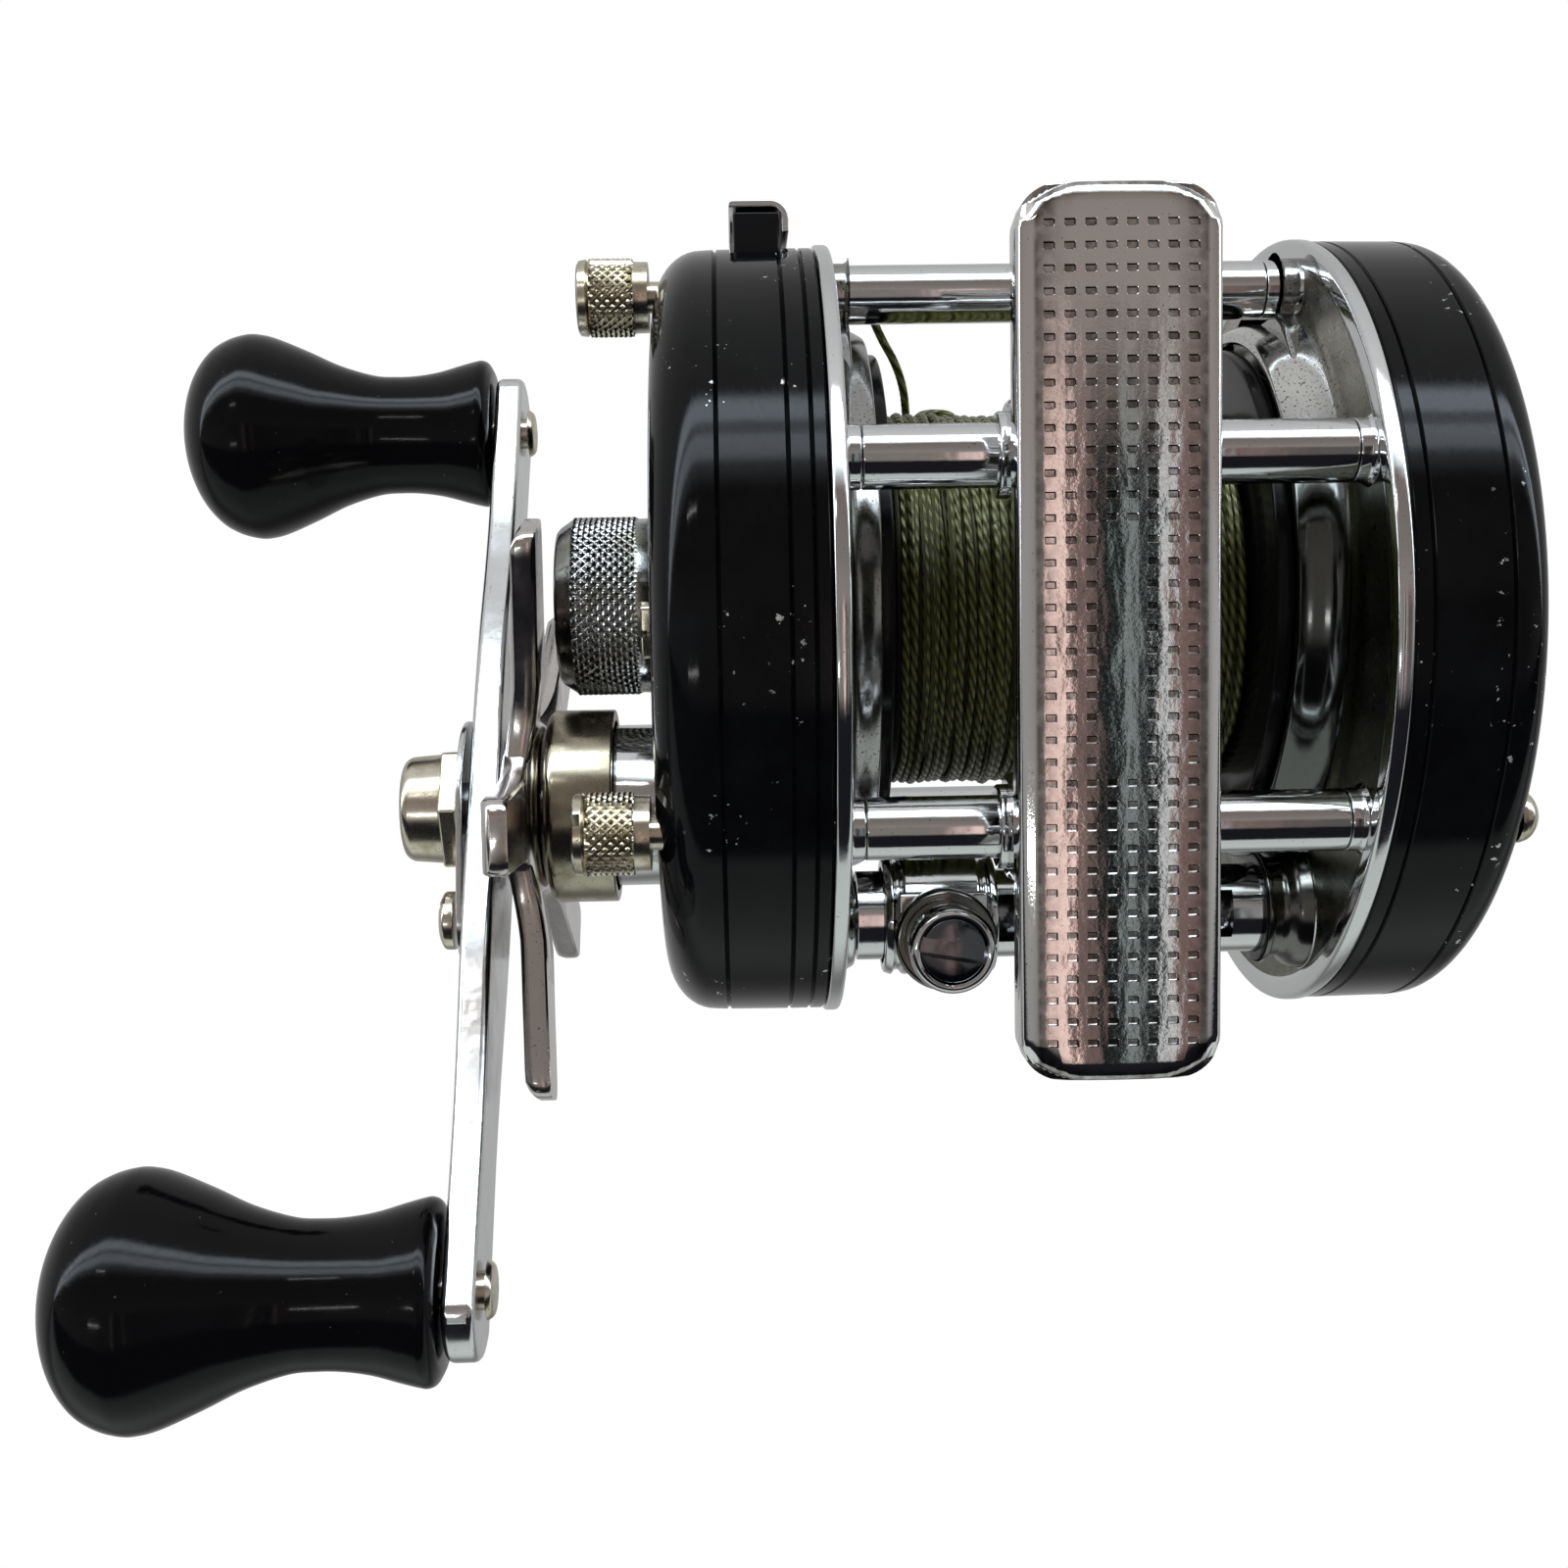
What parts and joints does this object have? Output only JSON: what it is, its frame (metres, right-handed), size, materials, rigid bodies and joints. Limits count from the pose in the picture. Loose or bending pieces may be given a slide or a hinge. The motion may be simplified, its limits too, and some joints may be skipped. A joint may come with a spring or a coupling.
{
  "type": "baitcasting reel",
  "caption": "Round baitcasting fishing reel with a left-hand crank, star drag, level wind, wound spool and a dimpled foot on the frame's pillars.",
  "frame": {"origin": "centre of the foot's flat face, which lies on the rod's seat", "axes": "+Z away from the rod, +Y towards the rod tip, +X towards the tail plate, opposite the crank"},
  "size_m": [0.0985, 0.0826, 0.062],
  "materials": {
    "polished_chrome": "polished chrome plate",
    "warm_nickel": "warm satin nickel plate",
    "black_enamel": "gloss black enamel",
    "black_plastic": "gloss black",
    "brass": "machined",
    "steel": "turned",
    "fibre": "pressed fibre",
    "braided_line": "waxed olive braid"
  },
  "bodies": {
    "frame": {"frame_ring_handle_side": "polished_chrome", "frame_ring_tail_side": "polished_chrome", "pillar_rear_upper": "polished_chrome", "pillar_rear_lower": "polished_chrome", "pillar_front_lower": "polished_chrome", "pillar_front_upper": "polished_chrome", "reel_foot": "polished_chrome", "handle_side_cover": "black_enamel", "tail_side_cover": "black_enamel", "gear_plate": "steel", "drive_shaft_boss": "polished_chrome", "drive_shaft_bush": "brass", "spool_bearing_handle_side": "steel", "spool_bearing_tail_side": "steel", "brake_drum": "steel", "worm_bush_tail_side": "brass", "worm_tube": "polished_chrome", "carriage_guide_bar": "polished_chrome", "tail_screw_rear_upper": "warm_nickel", "tail_screw_front_lower": "warm_nickel", "tail_screw_front_upper": "warm_nickel", "loose_line": "braided_line"},
    "crank": {"drive_shaft": "steel", "main_gear": "brass", "level_wind_cog": "steel", "ratchet_wheel": "steel", "drag_washer_fibre": "fibre", "drag_washer_steel": "steel", "handle_arm": "polished_chrome", "nut_lock_plate": "polished_chrome", "lock_plate_screw": "warm_nickel", "handle_nut": "warm_nickel", "knob_pin_near": "warm_nickel", "knob_pin_far": "warm_nickel"},
    "knob_front": {"knob_near": "black_plastic"},
    "knob_rear": {"knob_far": "black_plastic"},
    "star": {"star_drag": "polished_chrome", "star_sleeve": "warm_nickel"},
    "yoke": {"clutch_yoke": "steel"},
    "pinion": {"pinion_gear": "brass"},
    "spool_assembly": {"spool": "black_plastic", "spool_axle": "steel", "line_pack": "braided_line", "brake_block_holder": "brass", "click_gear": "brass"},
    "brake_front": {"brake_block_front": "fibre"},
    "brake_rear": {"brake_block_rear": "fibre"},
    "worm_shaft": {"worm": "steel", "worm_gear": "steel"},
    "carriage": {"line_guide": "polished_chrome", "pawl": "steel", "pawl_cap": "polished_chrome"},
    "thumb_button": {"free_spool_button": "polished_chrome", "button_slide": "black_enamel"},
    "cast_cap": {"cast_control_cap": "polished_chrome"},
    "screw_rear_upper": {"thumbscrew_rear_upper": "warm_nickel"},
    "screw_front_lower": {"thumbscrew_front_lower": "warm_nickel"},
    "screw_front_upper": {"thumbscrew_front_upper": "warm_nickel"},
    "dog": {"anti_reverse_dog": "steel"},
    "click": {"click_button": "polished_chrome"}
  },
  "joints": [
    {"name": "handle_spin", "type": "hinge", "parent": "frame", "child": "crank", "pos_m": [0, 0.01206, 0.0325], "axis": [1, 0, 0], "continuous": true},
    {"name": "spool_spin", "type": "hinge", "parent": "frame", "child": "spool_assembly", "pos_m": [0, -0.00308, 0.0345], "axis": [1, 0, 0], "continuous": true},
    {"name": "yoke_slide", "type": "slide", "parent": "frame", "child": "yoke", "axis": [-1, 0, 0], "range_m": [0, 0.0018]},
    {"name": "pinion_spin", "type": "hinge", "parent": "yoke", "child": "pinion", "pos_m": [0, -0.00308, 0.0345], "axis": [1, 0, 0], "continuous": true},
    {"name": "worm_spin", "type": "hinge", "parent": "frame", "child": "worm_shaft", "pos_m": [0, 0.01974, 0.0249], "axis": [1, 0, 0], "continuous": true},
    {"name": "carriage_travel", "type": "slide", "parent": "frame", "child": "carriage", "axis": [1, 0, 0], "range_m": [-0.0018, 0.019]},
    {"name": "knob_front_spin", "type": "hinge", "parent": "crank", "child": "knob_front", "pos_m": [0, 0.04241, 0.01286], "axis": [1, 0, 0], "continuous": true},
    {"name": "knob_rear_spin", "type": "hinge", "parent": "crank", "child": "knob_rear", "pos_m": [0, -0.01829, 0.05214], "axis": [1, 0, 0], "continuous": true},
    {"name": "star_turn", "type": "hinge", "parent": "crank", "child": "star", "pos_m": [0, 0.01206, 0.0325], "axis": [1, 0, 0], "range_deg": [-180, 180]},
    {"name": "thumb_button_slide", "type": "slide", "parent": "frame", "child": "thumb_button", "axis": [0, 0, -1], "range_m": [0, 0.003]},
    {"name": "cast_cap_turn", "type": "hinge", "parent": "frame", "child": "cast_cap", "pos_m": [0, -0.00308, 0.0345], "axis": [1, 0, 0], "range_deg": [-180, 180]},
    {"name": "screw_rear_upper_turn", "type": "hinge", "parent": "frame", "child": "screw_rear_upper", "pos_m": [0, -0.02474, 0.02641], "axis": [1, 0, 0], "range_deg": [0, 360]},
    {"name": "screw_front_lower_turn", "type": "hinge", "parent": "frame", "child": "screw_front_lower", "pos_m": [0, 0.012, 0.01183], "axis": [1, 0, 0], "range_deg": [0, 360]},
    {"name": "screw_front_upper_turn", "type": "hinge", "parent": "frame", "child": "screw_front_upper", "pos_m": [0, 0.01497, 0.05314], "axis": [1, 0, 0], "range_deg": [0, 360]},
    {"name": "dog_swing", "type": "hinge", "parent": "frame", "child": "dog", "pos_m": [0, 0.00734, 0.046], "axis": [1, 0, 0], "range_deg": [0, 10]},
    {"name": "click_slide", "type": "slide", "parent": "frame", "child": "click", "axis": [0, 0, 1], "range_m": [0, 0.003]},
    {"name": "brake_front_slide", "type": "slide", "parent": "spool_assembly", "child": "brake_front", "axis": [0, 1, 0], "range_m": [0, 0.0009]},
    {"name": "brake_rear_slide", "type": "slide", "parent": "spool_assembly", "child": "brake_rear", "axis": [0, -1, 0], "range_m": [0, 0.0009]}
  ],
  "couplings": [
    {"joint": "spool_spin", "follows": "handle_spin", "ratio": -3.5714},
    {"joint": "pinion_spin", "follows": "handle_spin", "ratio": -3.5714},
    {"joint": "worm_spin", "follows": "handle_spin", "ratio": -1.75},
    {"joint": "yoke_slide", "follows": "thumb_button_slide", "ratio": 0.6}
  ]
}
